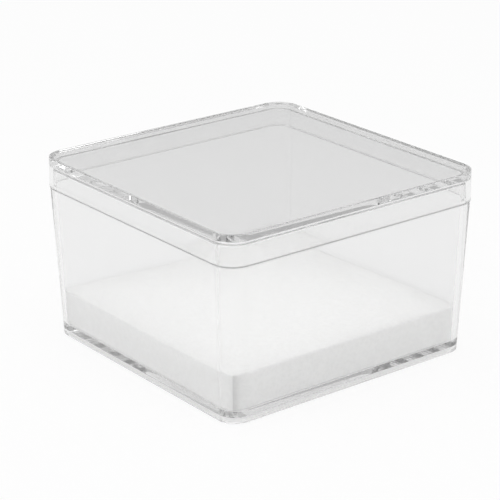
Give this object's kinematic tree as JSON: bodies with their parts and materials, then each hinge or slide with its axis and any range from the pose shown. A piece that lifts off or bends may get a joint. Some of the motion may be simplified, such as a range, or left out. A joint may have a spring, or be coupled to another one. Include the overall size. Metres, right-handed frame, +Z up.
{
  "type": "insect display case",
  "caption": "Square clear plastic display box with a lift-off lid and a white foam pinning pad lying on its floor.",
  "frame": {"origin": "centre of the case's square footprint, on the surface that the foot ring stands on", "axes": "+Z up, from the foot towards the lid; X and Y along the sides of the square"},
  "size_m": [0.09, 0.09, 0.055],
  "materials": {
    "clear_plastic": "polished clear polystyrene",
    "white_foam": "fine closed-cell foam"
  },
  "bodies": {
    "base": {"base": "clear_plastic"},
    "lid": {"lid": "clear_plastic"},
    "foam_pad": {"foam_pad": "white_foam"}
  },
  "joints": [
    {"name": "lid_lift", "type": "slide", "parent": "base", "child": "lid", "axis": [0, 0, 1], "range_m": [0, 0.06]},
    {"name": "pad_lift", "type": "slide", "parent": "base", "child": "foam_pad", "axis": [0, 0, 1], "range_m": [0, 0.037]}
  ]
}
